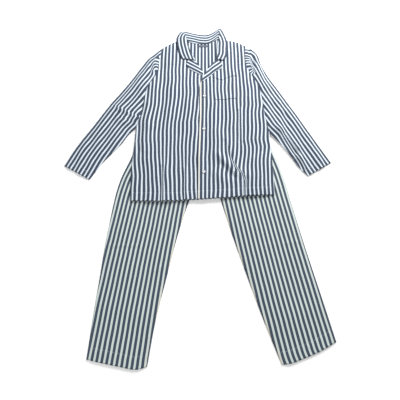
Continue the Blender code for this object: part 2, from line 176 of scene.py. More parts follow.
def trouser_front(flat):
    """The front walls: the loft of the leg, its creases, and a stitched step along the hem."""
    folds = [outline(table, 60) for table in (RIGHT_LEG_OUTER, LEFT_LEG_OUTER)]
    seams = [outline(table, 60) for table in (RIGHT_LEG_INNER, LEFT_LEG_INNER)]
    lift = spread(flat, TROUSER_LOFT, folds, seams)
    full = np.clip((lift - SEAM_LIFT) / (TROUSER_LOFT - SEAM_LIFT), 0, 1)
    hem = np.minimum(nearest(flat, outline(RIGHT_LEG_HEM, 30))[0],
                     nearest(flat, outline(LEFT_LEG_HEM, 30))[0])
    past = hem - LEG_HEM
    step = HEM_STEP * (1 - ease(past / (2 * MM))) - HEM_GROOVE * np.exp(-(past / GROOVE_WIDTH) ** 2)
    return FLOOR_GAP + lift + full * (creases(flat, LEG_CREASES) + step)


def raised(flat, height):
    """A flat grid with its heights."""
    return np.concatenate([flat, height[..., None]], axis=-1)


def sideways(line, by):
    """A line of points moved to its left by a distance."""
    step = np.gradient(line, axis=0)
    step /= np.linalg.norm(step, axis=1)[:, None]
    return line + by * np.stack([-step[:, 1], step[:, 0]], axis=1)


def wrapped(flat, back, front, across, grain):
    """Grid of a sheet folded along the flat grid's first column and sewn along its last, and its cut.

    It runs over the back wall from the seam to the fold, half way round a circle, and back over the
    front wall to the seam. across is the distance over the stripes from the fold, counted negative
    on the back wall.
    """
    low, high = back(flat), front(flat)
    radius = (high[:, 0] - low[:, 0]) / 2
    out = flat[:, 0] - flat[:, 1]
    out /= np.linalg.norm(out, axis=1)[:, None]
    bend = []
    for turn in np.linspace(0, np.pi, BEND_CELLS + 1)[1:-1]:
        edge = flat[:, 0] + out * (radius * np.sin(turn))[:, None]
        bend.append(raised(edge, low[:, 0] + radius * (1 - np.cos(turn))))
    bend = np.stack(bend, axis=1)
    points = np.concatenate([raised(flat, low)[:, ::-1], bend, raised(flat, high)], axis=1)
    turns = (np.linspace(-0.5, 0.5, BEND_CELLS + 1)[1:-1] * np.pi)[None, :] * radius[:, None]
    half = radius[:, None] * np.pi / 2
    u = np.concatenate([-(across + half)[:, ::-1], turns, across + half], axis=1)
    v = np.concatenate([grain[:, ::-1], np.repeat(grain[:, :1], BEND_CELLS - 1, axis=1), grain], axis=1)
    return points, np.stack([u, v], axis=-1)


class Number:
    """A number in a material: arithmetic on it adds Math nodes."""

    def __init__(self, tree, socket):
        self.tree, self.socket = tree, socket

    def math(self, operation, *terms):
        node = self.tree.nodes.new("ShaderNodeMath")
        node.operation = operation
        for slot, term in zip(node.inputs, terms):
            if isinstance(term, Number):
                self.tree.links.new(term.socket, slot)
            else:
                slot.default_value = term
        return Number(self.tree, node.outputs[0])

    def __add__(self, other):
        return self.math("ADD", self, other)

    def __sub__(self, other):
        return self.math("SUBTRACT", self, other)

    def __rsub__(self, other):
        return self.math("SUBTRACT", other, self)

    def __mul__(self, other):
        return self.math("MULTIPLY", self, other)

    def __truediv__(self, other):
        return self.math("DIVIDE", self, other)

    __radd__, __rmul__ = __add__, __mul__

    def size(self):
        return self.math("ABSOLUTE", self)

    def wave(self):
        return self.math("SINE", self)

    def part(self):
        return self.math("FRACT", self)

    def within(self, low, high):
        return self.math("MINIMUM", self.math("MAXIMUM", self, low), high)


class Finish:
    """A Principled material being put together."""

    def __init__(self, name, roughness, sheen=0.0):
        self.material = bpy.data.materials.new(name)
        self.material.use_nodes = True
        self.tree = self.material.node_tree
        self.shader = self.tree.nodes["Principled BSDF"]
        self.shader.inputs["Roughness"].default_value = roughness
        self.shader.inputs["Metallic"].default_value = 0
        self.shader.inputs["Sheen Weight"].default_value = sheen
        self.shader.inputs["Sheen Roughness"].default_value = 0.5

    def node(self, kind, settings, sockets):
        """A node of this kind, with its settings and then its sockets; gives the node."""
        made = self.tree.nodes.new(kind)
        for key, value in settings.items():
            setattr(made, key, value)
        for key, value in sockets.items():
            if isinstance(value, Number):
                value = value.socket
            if isinstance(value, bpy.types.NodeSocket):
                self.tree.links.new(value, made.inputs[key])
            else:
                made.inputs[key].default_value = value
        return made

    def number(self, socket):
        return Number(self.tree, socket)

    def mix(self, part, first, second, blend="MIX"):
        """Colour between two colours."""
        mixer = self.node("ShaderNodeMix", {"data_type": "RGBA", "blend_type": blend},
                          {0: part, 6: first, 7: second})
        return mixer.outputs[2]

    def show(self, socket, value):
        self.tree.links.new(value.socket if isinstance(value, Number) else value, self.shader.inputs[socket])


CREAM = (0.75, 0.71, 0.60, 1.0)   # white yarn yellowed along worn edges
YARN = 0.9 * MM                   # two yarns of the weave
DRIFT = 1.6 * MM                  # how far the bars wander off straight
BAR_SHARPNESS = 34
TURN = 6.2832


def striped_cotton(name, blue, white, half_bar):
    """Woven cotton with even blue and white stripes, on the piece's own cut and its "age".

    The stripe is the distance from the middle of the nearest blue bar, cut at half_bar of the repeat.
    Threads are two crossed sine waves, and slubs are noise drawn out along the grain.
    """
    cloth = Finish(name, 0.85, 0.12)
    cut = cloth.node("ShaderNodeUVMap", {"uv_map": "cut"}, {}).outputs[0]
    split = cloth.node("ShaderNodeSeparateXYZ", {}, {0: cut})
    u, v = cloth.number(split.outputs[0]), cloth.number(split.outputs[1])
    drift = cloth.node("ShaderNodeTexNoise", {"noise_dimensions": "2D"},
                       {"Vector": cut, "Scale": 14.0, "Detail": 2.0})
    u_drawn = u + (cloth.number(drift.outputs[0]) - 0.5) * DRIFT
    beside = ((u_drawn / STRIPE + 0.5).part() - 0.5).size()
    blue_bar = ((half_bar - beside) * BAR_SHARPNESS + 0.5).within(0, 1)
    threads = ((u * (TURN / YARN)).wave() * (v * (TURN / YARN)).wave()) * 0.5 + 0.5
    drawn = cloth.node("ShaderNodeMapping", {}, {"Vector": cut, "Scale": (900.0, 70.0, 1.0)}).outputs[0]
    slub = cloth.number(cloth.node("ShaderNodeTexNoise", {"noise_dimensions": "2D"},
                                   {"Vector": drawn, "Scale": 1.0, "Detail": 2.0}).outputs[0])
    worn = cloth.number(cloth.node("ShaderNodeTexNoise", {"noise_dimensions": "2D"},
                                   {"Vector": cut, "Scale": 9.0, "Detail": 3.0}).outputs[0])
    deep = tuple(c * 0.72 for c in blue[:3]) + (1.0,)
    pale = tuple(c * 0.93 for c in white[:3]) + (1.0,)
    blue_yarn = cloth.mix((slub * 1.6 - 0.3).within(0, 1), deep, blue)
    white_yarn = cloth.mix((slub * 1.2 + worn * 0.5 - 0.35).within(0, 1), pale, white)
    age = cloth.number(cloth.node("ShaderNodeAttribute", {"attribute_name": "age"}, {}).outputs["Fac"])
    white_yarn = cloth.mix(age.within(0, 1), white_yarn, CREAM)
    colour = cloth.mix(blue_bar, white_yarn, blue_yarn)
    shade = cloth.node("ShaderNodeCombineColor", {}, {0: threads * 0.10 + 0.92, 1: threads * 0.10 + 0.92,
                                                      2: threads * 0.09 + 0.93}).outputs[0]
    cloth.show("Base Color", cloth.mix(1.0, colour, shade, "MULTIPLY"))
    relief = threads * 0.6 + slub * 0.8
    bump = cloth.node("ShaderNodeBump", {}, {"Strength": 0.5, "Distance": 0.25 * MM, "Height": relief})
    cloth.show("Normal", bump.outputs[0])
    return cloth.material


def panel(name, points, cut, wall, finish, nodes, with_pieces=(), age=None):
    """A cloth piece on a grid of points (rows, columns, xyz) with its cut and a wall, hiding the frame parts it
    replaces.

    age is 0 where the white yarn is clean and 1 where it has gone cream.
    """
    rows, columns = points.shape[:2]
    index = np.arange(rows * columns).reshape(rows, columns)
    quads = np.stack([index[:-1, :-1], index[:-1, 1:], index[1:, 1:], index[1:, :-1]], axis=-1).reshape(-1, 4)
    mesh = bpy.data.meshes.new(name)
    mesh.vertices.add(rows * columns)
    mesh.vertices.foreach_set("co", points.reshape(-1).astype(np.float32))
    mesh.loops.add(quads.size)
    mesh.loops.foreach_set("vertex_index", quads.reshape(-1).astype(np.int32))
    mesh.polygons.add(len(quads))
    mesh.polygons.foreach_set("loop_start", np.arange(0, quads.size, 4, dtype=np.int32))
    mesh.update(calc_edges=True)
    corners = cut.reshape(-1, 2)[quads.reshape(-1)]
    mesh.uv_layers.new(name="cut").data.foreach_set("uv", corners.reshape(-1).astype(np.float32))
    mesh.polygons.foreach_set("use_smooth", np.ones(len(quads), bool))
    aged = np.zeros(rows * columns, np.float32) if age is None else age.reshape(-1).astype(np.float32)
    mesh.attributes.new("age", "FLOAT", "POINT").data.foreach_set("value", aged)
    mesh.materials.append(finish)
    piece = bpy.data.objects.new(name, mesh)
    bpy.context.scene.collection.objects.link(piece)
    solid = piece.modifiers.new("wall", "SOLIDIFY")
    solid.thickness = wall
    solid.offset = 0
    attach(piece, "root")
    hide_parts(*nodes)
    return piece


def shown(name, vertices, quads, finish):
    """A smooth-shaded closed piece of the set from vertices and quads, merged at its poles."""
    mesh = bpy.data.meshes.new(name)
    mesh.from_pydata(vertices.reshape(-1, 3).tolist(), [], quads.reshape(-1, 4).tolist())
    closed = bmesh.new()
    closed.from_mesh(mesh)
    bmesh.ops.remove_doubles(closed, verts=closed.verts, dist=1e-7)
    bmesh.ops.recalc_face_normals(closed, faces=closed.faces)
    closed.to_mesh(mesh)
    closed.free()
    mesh.polygons.foreach_set("use_smooth", np.ones(len(mesh.polygons), bool))
    mesh.materials.append(finish)
    piece = bpy.data.objects.new(name, mesh)
    bpy.context.scene.collection.objects.link(piece)
    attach(piece, "root")
    return piece


STITCH_LENGTH, STITCH_STEP = 2.4 * MM, 3.2 * MM
THREAD_RADIUS = 0.24 * MM
THREAD_RISE = 0.08 * MM      # middle of a thread over the cloth
THREAD_SIDES = 6


def threads_between(name, heads, tails, radius):
    """Short threads from heads to tails: rings of points that swell from each end to the middle."""
    step = tails - heads
    side = np.cross(step, (0, 0, 1.0))
    side /= np.linalg.norm(side, axis=1)[:, None]
    up = np.cross(side, step)
    up /= np.linalg.norm(up, axis=1)[:, None]
    t = np.array([0.0, 0.08, 0.5, 0.92, 1.0])
    swell = radius * np.array([0.0, 0.75, 1.0, 0.75, 0.0])
    angle = np.arange(THREAD_SIDES) * 2 * np.pi / THREAD_SIDES
    ring = np.cos(angle)[:, None] * side[:, None, None] + np.sin(angle)[:, None] * up[:, None, None]
    points = heads[:, None, None] + t[:, None, None] * step[:, None, None] + swell[:, None, None] * ring
    index = np.arange(len(heads) * len(t) * THREAD_SIDES).reshape(len(heads), len(t), THREAD_SIDES)
    after = np.roll(index, -1, axis=2)
    quads = np.stack([index[:, :-1], after[:, :-1], after[:, 1:], index[:, 1:]], axis=-1)
    return shown(name, points, quads, sewing_thread.material)


def stitches(name, line, height):
    """Lockstitches along a line of points on a surface, one after another with a small gap."""
    along_line = run(line)
    at = np.arange(2 * MM, along_line[-1] - 3 * MM, STITCH_STEP)
    ends = []
    for shift in (0, STITCH_LENGTH):
        flat = np.stack([np.interp(at + shift, along_line, line[:, k]) for k in (0, 1)], axis=1)
        ends.append(raised(flat, height(flat[None])[0] + WALL / 2 + THREAD_RISE))
    return threads_between(name, ends[0], ends[1], THREAD_RADIUS)


THREAD_SHADE, THREAD_WHITE = (0.62, 0.66, 0.68, 1.0), (0.84, 0.86, 0.86, 1.0)
sewing_thread = Finish("sewing_thread", 0.6, 0.1)
thread_place = sewing_thread.node("ShaderNodeTexCoord", {}, {}).outputs["Object"]
thread_cloud = sewing_thread.node("ShaderNodeTexNoise", {},
                                  {"Vector": thread_place, "Scale": 260.0, "Detail": 2.0}).outputs[0]
sewing_thread.show("Base Color", sewing_thread.mix(thread_cloud, THREAD_SHADE, THREAD_WHITE))

# How cream the yarn has gone along the inner seams. Then how far in from the outer fold the first
# blue bar lies, in millimetres, up the leg
SEAM_AGE, SEAM_AGE_WIDTH = 0.9, 6 * MM
RIGHT_LEG_BAR = [(-730, 2), (-560, 11), (-420, 20.5), (-320, 28), (-200, 34), (50, 40)]
LEFT_LEG_BAR = [(-730, 4), (-560, 3), (-400, 0), (-200, -2.5), (50, -5)]


def first_bar(flat, table):
    """Distance of the first blue bar from the fold, between the rows of its table."""
    rows = np.array(table, float) * MM
    return np.interp(flat[..., 1], rows[:, 0], rows[:, 1])


def leg(outer, inner, hem, side, bar):
    """Grid, cut and age of one leg: stripes run beside the outer fold and are cut off by the inseam."""
    rise = sideways(outline(CENTRE_SEAM, RISE_ROWS), -side * SEAM_GAP / 2)
    inseam = outline(inner, LEG_ROWS)
    inseam[-1] = rise[0]
    end = joined(inseam, rise)
    start = along(outer, run(end) / run(end)[-1]) * MM
    base = outline(hem, LEG_COLUMNS)
    start[0], base[0], end[0] = base[0], base[0], base[-1]
    flat = patch(start, end, base, np.linspace(start[-1], end[-1], LEG_COLUMNS + 1))
    across, grain = nearest(flat, outline(outer, 80))
    across = (across - first_bar(flat, bar)) * STRIPE / LEG_PITCH
    points, cut = wrapped(flat, trouser_back, trouser_front, across, grain)
    return points, cut, SEAM_AGE * np.exp(-(nearest(points[..., :2], end)[0] / SEAM_AGE_WIDTH) ** 2)


# The trousers' white is greener than the top's, which is their own colour, and darker, which is painted shade for
# the dimmer light low on the set.
TROUSER_BLUE, TROUSER_SHADED_WHITE, TROUSER_HALF_BAR = (0.048, 0.075, 0.116, 1.0), (0.64, 0.72, 0.69, 1.0), 0.285
trouser_cotton = striped_cotton("trouser_cotton", TROUSER_BLUE, TROUSER_SHADED_WHITE, TROUSER_HALF_BAR)
leg_points, leg_cut, leg_age = leg(RIGHT_LEG_OUTER, RIGHT_LEG_INNER, RIGHT_LEG_HEM, -1, RIGHT_LEG_BAR)
panel("right_leg", leg_points, leg_cut, WALL, trouser_cotton, ["leg_right"],
      age=leg_age,
      with_pieces=[stitches("right_leg_stitches", sideways(outline(RIGHT_LEG_HEM, 60), LEG_HEM)[1:-1],
                            trouser_front)])

# ---------------------------------------------------------------------------------------------
# Left leg of the trousers: the mirror panel of the same cotton, sewn to the right one along the
# centre seam and folded, hemmed and laid in the same way.
# ---------------------------------------------------------------------------------------------
leg_points, leg_cut, leg_age = leg(LEFT_LEG_OUTER, LEFT_LEG_INNER, LEFT_LEG_HEM, 1, LEFT_LEG_BAR)
panel("left_leg", leg_points, leg_cut, WALL, trouser_cotton, ["leg_left"],
      age=leg_age,
      with_pieces=[stitches("left_leg_stitches", sideways(outline(LEFT_LEG_HEM, 60), -LEG_HEM)[1:-1],
                            trouser_front)])

# ---------------------------------------------------------------------------------------------
# Waistband of the trousers: a folded casing of the same cotton, gathered by the elastic inside it
# and sewn to both legs. It lies wholly under the top.
# ---------------------------------------------------------------------------------------------
WAIST_DEPTH = 35 * MM
WAIST_COLUMNS, WAIST_ROWS = 150, 10
GATHER_DEPTH, GATHER_STEP = 0.35 * MM, 2.6 * MM
waist_right, waist_left = np.array(RIGHT_LEG_OUTER[-1]) * MM, np.array(LEFT_LEG_OUTER[-1]) * MM
waist_centre = np.array(CENTRE_SEAM[-1]) * MM
waist_base = joined(np.linspace(waist_right, waist_centre, WAIST_COLUMNS // 2 + 1),
                    np.linspace(waist_centre, waist_left, WAIST_COLUMNS // 2 + 1)) + (0, SEAM_GAP)
waist_top = waist_base + (0, WAIST_DEPTH)
waist_flat = patch(np.linspace(waist_base[0], waist_top[0], WAIST_ROWS + 1),
                   np.linspace(waist_base[-1], waist_top[-1], WAIST_ROWS + 1), waist_base, waist_top)


def waist_front(flat):
    """The front wall of the casing: full in the middle, with fine gathers across it."""
    ends = [np.array([waist_base[0], waist_top[0]])], [np.array([waist_base[-1], waist_top[-1]])]
    lift = spread(flat, TROUSER_LOFT, *ends)
    wander = 2 * np.sin(flat[..., 0] / (19 * MM))
    gathers = np.sin(flat[..., 0] / GATHER_STEP + wander) * np.sin(flat[..., 1] / (11 * MM))
    return FLOOR_GAP + lift + GATHER_DEPTH * gathers * (lift - SEAM_LIFT) / (TROUSER_LOFT - SEAM_LIFT)


waist_across = waist_flat[..., 0] - waist_flat[:, :1, 0]
waist_points, waist_cut = wrapped(waist_flat, trouser_back, waist_front, waist_across, waist_flat[..., 1])
panel("waist_casing", waist_points, waist_cut, WALL, trouser_cotton, ["waistband"])

# ---------------------------------------------------------------------------------------------
# Back of the top: one panel of the striped cotton, lying over the trousers and coming down to the
# floor past their outline. Only its inside shows, at the neck.
# ---------------------------------------------------------------------------------------------
STACK = 6.2 * MM             # height of the trousers where the top lies over them
STACK_SLOPE = 150 * MM       # run over which the top comes down from them to the floor
STACK_EDGE = 6 * MM          # how far past them it starts to
BACK_ROWS, BACK_COLUMNS = 130, 96
RIGHT_SIDE = [(-262, -165), (-268, -50), (-265, 90), (-264, 175)]
RIGHT_ARMHOLE = [(-264, 175), (-248, 240), (-241, 310), (-225, 398), (-193, 465), (-184, 535), (-174, 628)]
LEFT_SIDE = [(301, -139), (304, -37), (303, 60), (303, 150)]
LEFT_ARMHOLE = [(303, 150), (292, 210), (286, 300), (274, 388), (255, 445), (231, 500), (220, 568), (227, 646)]
RIGHT_SHOULDER = [(-68, 688), (-110, 672), (-140, 655), (-174, 628)]
LEFT_SHOULDER = [(101, 697), (138, 684), (186, 670), (227, 646)]
BACK_NECK = [(-68, 688), (-46, 677), (-20, 668), (10, 665), (40, 665), (72, 677), (101, 697)]
BACK_HEM = [(-262, -165), (-127, -167), (0, -160), (120, -151), (301, -139)]


def top_back(flat):
    """The back of the top lies over the trousers and comes down to the floor past their outline."""
    x, y = flat[..., 0], flat[..., 1]
    right, left = outline(RIGHT_LEG_OUTER, 64), outline(LEFT_LEG_OUTER, 64)
    past_side = np.maximum(np.interp(y, right[:, 1], right[:, 0]) - x, x - np.interp(y, left[:, 1], left[:, 0]))
    past_waist = y - (left[-1, 1] + WAIST_DEPTH)
    outside = np.hypot(np.maximum(past_side, 0), np.maximum(past_waist, 0))
    return FLOOR_GAP + STACK * (1 - ease((outside - STACK_EDGE) / STACK_SLOPE))


def body_side(side, armhole, rows):
    """Side seam and armhole as one line of row ends, evenly spaced."""
    line = joined(outline(side, 60), outline(armhole, 90))
    at = np.linspace(0, run(line)[-1], rows + 1)
    return np.stack([np.interp(at, run(line), line[:, k]) for k in (0, 1)], axis=1)


TOP_BLUE, TOP_WHITE, TOP_HALF_BAR = (0.033, 0.054, 0.098, 1.0), (0.69, 0.77, 0.83, 1.0), 0.310
top_cotton = striped_cotton("top_cotton", TOP_BLUE, TOP_WHITE, TOP_HALF_BAR)
back_right = body_side(RIGHT_SIDE, RIGHT_ARMHOLE, BACK_ROWS)
back_left = body_side(LEFT_SIDE, LEFT_ARMHOLE, BACK_ROWS)
back_top = joined(outline(RIGHT_SHOULDER, BACK_COLUMNS // 4)[::-1], outline(BACK_NECK, BACK_COLUMNS // 2),
                  outline(LEFT_SHOULDER, BACK_COLUMNS // 4))
back_flat = patch(back_right, back_left, along(BACK_HEM, run(back_top) / run(back_top)[-1]) * MM, back_top)
panel("back_panel", raised(back_flat, top_back(back_flat)), back_flat, WALL, top_cotton, ["back"])

# ---------------------------------------------------------------------------------------------
# Right front of the top: a panel of the striped cotton sewn to the back at the shoulder and side,
# with its plain front edge tucked under the left front. Two pleats have set in it near the hem.
# ---------------------------------------------------------------------------------------------
TOP_LOFT = 5.2 * MM
LEAST_LIFT = 1.6 * MM         # the front wall comes no closer to the back wall
CREASE_RISE = 1.75           # all of the smaller creases together
FRONT_ROWS, FRONT_COLUMNS = 330, 84
FRONT_PITCH = 17 * MM        # what one stripe takes up as the right front lies
BODY_HEM = 34 * MM
BODY_GROOVE = 0.8 * MM
ARMHOLE_GROOVE, ARMHOLE_RIDGE = 0.9 * MM, 0.4 * MM
RIGHT_FRONT_HEM = [(38, -157), (-28, -161), (-127, -167), (-262, -165)]
RIGHT_FRONT_EDGE = [(38, -157), (43, 117), (47, 326), (46, 430), (31, 462), (2, 523), (-15, 549),
                    (-34, 566), (-48, 592), (-58, 624), (-66, 660), (-68, 688)]
RIGHT_SLEEVE_FOLD = [(-174, 628), (-207, 592), (-237, 561), (-258, 524), (-295, 452), (-335, 382), (-378, 315),
                     (-447, 188), (-512, 68), (-544, -9)]
RIGHT_SLEEVE_SEAM = [(-264, 175), (-291, 144), (-317, 99), (-350, 56), (-383, 14), (-414, -36), (-434, -72)]
LEFT_SLEEVE_FOLD = [(227, 646), (254, 624), (276, 596), (295, 524), (322, 452), (358, 382), (425, 250),
                    (484, 127), (544, 5)]
LEFT_SLEEVE_SEAM = [(303, 150), (336, 107), (376, 49), (413, -17), (444, -55)]

# Largest folds, as in the frame, and the smaller creases that go with them
TOP_FOLDS = [
    (90, 150, 189, -56, 30, 3.5),
    (194, -56, 197, -140, 26, 4.5),
    (-137, -10, -137, -160, 26, 3.5),
    (-370, 285, -262, 225, 30, 4.5),
    (318, 225, 410, 20, 30, 4.5),
    (285, 560, 300, 400, 30, 5.5),
    (-215, 545, -262, 400, 30, 4.0),
]
TOP_CREASES = [
    (-51, -30, -48, -155, 12, 2.2),
    (-63, -30, -62, -155, 8, -1.6),
    (-149, -20, -150, -160, 8, -1.8),
    (183, 265, 184, 110, 9, 1.8),
    (174, 255, 172, 110, 9, -1.5),
    (108, 100, 150, -30, 9, -1.6),
    (150, -30, 184, -70, 9, -1.8),
    (174, -80, 174, -150, 8, -1.8),
    (85, 40, 135, -35, 14, 2.2),
    (96, -5, 150, -65, 10, -1.8),
    (92, 26, 166, -44, 18, 2.4),
    (-247, 310, -248, 60, 9, -1.6),
    (-224, 300, -227, 60, 14, 2.0),
    (286, 300, 288, 40, 10, -1.2),
    (269, 610, 277, 530, 9, 2.0),
    (60, -40, 110, -80, 18, 1.6),
    (213, -60, 214, -120, 8, 1.4),
    (235, 20, 262, -120, 18, 1.8),
    (-100, 480, -112, 240, 34, 1.8),
    (-65, 420, -80, 140, 22, -1.3),
    (-150, 500, -170, 250, 26, -1.5),
    (-196, 400, -205, 180, 24, 2.0),
    (-235, 300, -240, 60, 14, -1.8),
    (-215, 180, -215, 20, 22, 1.2),
    (-180, 120, -165, -60, 22, 1.4),
    (-20, 300, -25, 40, 24, 1.2),
    (70, 290, 75, 60, 22, 1.4),
    (105, 290, 108, 150, 16, -1.2),
    (140, 330, 142, 180, 22, 1.3),
    (225, 330, 232, 120, 20, 1.8),
    (258, 300, 262, 60, 12, -1.6),
    (150, 600, 158, 470, 18, 1.4),
    (190, 640, 195, 520, 14, -1.4),
    (-120, 640, -118, 540, 16, 1.2),
    (250, 600, 257, 530, 9, -5.0),
    (257, 530, 250, 455, 8, -4.0),
    (-206, 585, -222, 520, 9, -2.2),
    (-218, 505, -228, 440, 9, -1.6),
    (-190, 566, -214, 560, 6, 1.4),
    (-190, 541, -212, 534, 6, 1.4),
    (-192, 517, -210, 509, 6, 1.4),
    (-195, 492, -209, 484, 6, 1.2),
    (232, 606, 250, 600, 6, 1.6),
    (226, 584, 248, 578, 6, 1.6),
    (224, 568, 248, 560, 6, 1.6),
    (228, 550, 250, 540, 6, 1.6),
    (229, 531, 250, 519, 6, 1.5),
    (233, 508, 250, 496, 6, 1.4),
    (-300, 262, -262, 236, 8, -1.4),
    (-360, 262, -300, 230, 9, -1.6),
    (-345, 215, -300, 195, 14, 1.4),
    (-400, 250, -450, 150, 22, 1.4),
    (-360, 160, -410, 60, 22, 1.2),
    (-470, 90, -440, 10, 20, 1.0),
    (330, 150, 395, 50, 10, -3.0),
    (352, 171, 414, 68, 9, 2.0),
    (414, 68, 430, -18, 9, 2.0),
    (365, 140, 412, 40, 7, -2.0),
    (400, 260, 460, 130, 22, 1.6),
    (330, 330, 370, 260, 16, 1.6),
    (345, 290, 380, 225, 12, -1.2),
    (460, 90, 500, 20, 20, 1.2),
]


def drape(flat):
    """Slow uneven waves of cloth that is laid loosely: two trains down the body that wander and fade."""
    x, y = flat[..., 0] / MM, flat[..., 1] / MM
    wide = 1.4 * np.sin(x / 11 + 1.3 * np.sin(y / 71) + 0.6)
    narrow = 1.0 * np.sin(x / 7.1 - y / 52 + 0.9 * np.sin(y / 39))
    wide_fade = 0.65 + 0.35 * np.sin(y / 93 + x / 64)
    narrow_fade = 0.5 + 0.5 * np.sin(y / 57 - x / 83 + 2)
    return MM * (wide * wide_fade + narrow * narrow_fade)


def top_front(flat):
    """The fronts of the top and the front walls of its sleeves, with folds, creases and a stitched hem."""
    folds = [outline(table, 60) for table in (RIGHT_SLEEVE_FOLD, LEFT_SLEEVE_FOLD)]
    tables = (RIGHT_SIDE, LEFT_SIDE, RIGHT_SHOULDER, LEFT_SHOULDER, RIGHT_SLEEVE_SEAM, LEFT_SLEEVE_SEAM)
    lift = spread(flat, TOP_LOFT, folds, [outline(table, 40) for table in tables])
    full = np.clip((lift - SEAM_LIFT) / (TOP_LOFT - SEAM_LIFT), 0, 1)
    armhole = np.minimum(nearest(flat, outline(RIGHT_ARMHOLE, 60))[0],
                         nearest(flat, outline(LEFT_ARMHOLE, 60))[0])
    seam = ARMHOLE_RIDGE * np.exp(-((armhole - 7 * MM) / (4 * MM)) ** 2)
    seam = seam - ARMHOLE_GROOVE * np.exp(-(armhole / (3 * MM)) ** 2)
    hem = np.minimum(nearest(flat, outline(RIGHT_FRONT_HEM, 40))[0],
                     nearest(flat, outline(LEFT_FRONT_HEM, 40))[0])
    past = hem - BODY_HEM
    step = HEM_STEP * (1 - ease(past / (2 * MM))) - BODY_GROOVE * np.exp(-(past / GROOVE_WIDTH) ** 2)
    wrinkles = creases(flat, TOP_FOLDS) + CREASE_RISE * creases(flat, TOP_CREASES) + drape(flat)
    over = lift + full * (wrinkles + seam + step) - LEAST_LIFT
    return top_back(flat) + LEAST_LIFT + np.maximum(over, 0) + 0.3 * MM * np.exp(-abs(over) / (0.5 * MM))


def front(edge, hem, shoulder, side, armhole, height):
    """Flat grid and points of a front panel, from its front edge to the side seam and armhole."""
    end = body_side(side, armhole, FRONT_ROWS)
    start = along(edge, run(end) / run(end)[-1]) * MM
    flat = patch(start, end, outline(hem, FRONT_COLUMNS), outline(shoulder, FRONT_COLUMNS))
    return flat, raised(flat, height(flat))


LEFT_FRONT_HEM = [(-2, -160), (86, -154), (181, -146), (301, -139)]
# Sway of the stripes of the right front, in millimetres. Columns: y, at the front edge, middle and side
RIGHT_SWAY = [(-160, -11, -1, 12), (-60, -16, -7, 7), (20, -17, -12, -2), (105, -14, -11, -10),
              (200, -11, -12, -11), (290, -3, -1, -3), (340, 0, 0, 0)]


def uneven(x, y):
    """Small uneven sway of loosely laid cloth, in millimetres: a few waves down it that change across."""
    waves = 0.8 * np.sin(y / 31 + x / 47) + 0.6 * np.sin(y / 17 - x / 39 + 1.3)
    waves = waves + 0.7 * np.sin(y / 58 + x / 23 + 2.1)
    return waves * ease((600 - y) / 200)


def right_cut(flat):
    """Place in the cloth: x less the sway, which steps across the two pleats near the hem."""
    x, y = flat[..., 0] / MM, flat[..., 1] / MM
    table = np.array(RIGHT_SWAY, float)
    at_front, at_middle, at_side = (np.interp(y, table[:, 0], table[:, k]) for k in (1, 2, 3))
    width = 14 + 90 * ease((y + 60) / 160)
    sway = at_front + (at_middle - at_front) * ease((-51 - x) / width + 0.5)
    sway += (at_side - at_middle) * ease((-139 - x) / width + 0.5)
    return np.stack([(x + 1 - sway + uneven(x, y)) * MM * STRIPE / FRONT_PITCH, flat[..., 1]], axis=-1)


right_flat, right_points = front(RIGHT_FRONT_EDGE, RIGHT_FRONT_HEM, RIGHT_SHOULDER, RIGHT_SIDE, RIGHT_ARMHOLE,
                                 top_front)
panel("right_front", right_points, right_cut(right_flat), WALL, top_cotton, ["front_right"],
      with_pieces=[stitches("right_front_stitches", sideways(outline(RIGHT_FRONT_HEM, 60), -BODY_HEM)[:-1],
                            top_front)])

# ---------------------------------------------------------------------------------------------
# Left front of the top: the mirror panel, lapped over the right front and buttoned to it. A long
# fold runs from the chest down to the hem.
# ---------------------------------------------------------------------------------------------
OVERLAP_LIFT = 2.1 * MM
OVERLAP_FADE = 60 * MM
UNDER_EDGE_X = 56 * MM        # just past the edge of the right front beneath
OVERLAP_TOP_Y = 500 * MM
LEFT_FRONT_EDGE = [(-2, -160), (-1, 20), (7, 219), (6, 326), (13, 421), (31, 462), (61, 523), (87, 553),
                   (100, 570), (104, 592), (108, 624), (110, 660), (101, 697)]
POCKET_MOUTH = [(70, 436), (91, 428), (117, 426), (136, 438), (154, 446), (172, 448)]
SINK_BEHIND, SINK_DEPTH, SINK_WIDTH = 4.5 * MM, 3.6 * MM, 4.0 * MM   # the front sinks behind the mouth
# Columns: y, x of the first blue bar; then y, x of the long fold
LEFT_FIRST_BAR = [(-160, 13), (20, 14), (120, 17), (219, 20), (293, 21)]
LEFT_PLEAT = [(-160, 184), (-136, 185), (-82, 191), (-50, 178), (-18, 151), (23, 134), (91, 118)]


def left_front(flat):
    """The left front: raised where it lies over the right front, sunk behind the pocket's mouth."""
    x, y = flat[..., 0], flat[..., 1]
    over = 1 - ease((x - UNDER_EDGE_X) / OVERLAP_FADE)
    over *= 1 - ease((y - OVERLAP_TOP_Y) / OVERLAP_FADE)
    behind = nearest(flat, outline(POCKET_MOUTH, 30) + (0, SINK_BEHIND))[0]
    return top_front(flat) + OVERLAP_LIFT * over - SINK_DEPTH * np.exp(-(behind / SINK_WIDTH) ** 2)


def left_cut(flat):
    """Place in the cloth: x from the first blue bar, plus the cloth hidden in the pinch and the pleat."""
    x, y = flat[..., 0] / MM, flat[..., 1] / MM
    bar, pleat = np.array(LEFT_FIRST_BAR, float), np.array(LEFT_PLEAT, float)
    pitch = np.interp(y, (-160, 300), (16.1, 16.8))
    pinch = 5 * ease((x - 175) / 16) * ease((y - 70) / 50) * ease((300 - y) / 50)
    past = x - np.interp(y, pleat[:, 0], pleat[:, 1])
    beyond = 9 * ease(past / 14 + 0.5)
    before = 12 * ease(0.5 - past / 14) * np.exp(-(past / 60) ** 2)
    tuck = (beyond - before) * ease((95 - y) / 130)
    loose = uneven(x, y) * ease((x - 20) / 30)
    u = (x - np.interp(y, bar[:, 0], bar[:, 1]) + pinch + tuck + loose) * STRIPE / MM / pitch
    return np.stack([u * MM, flat[..., 1]], axis=-1)


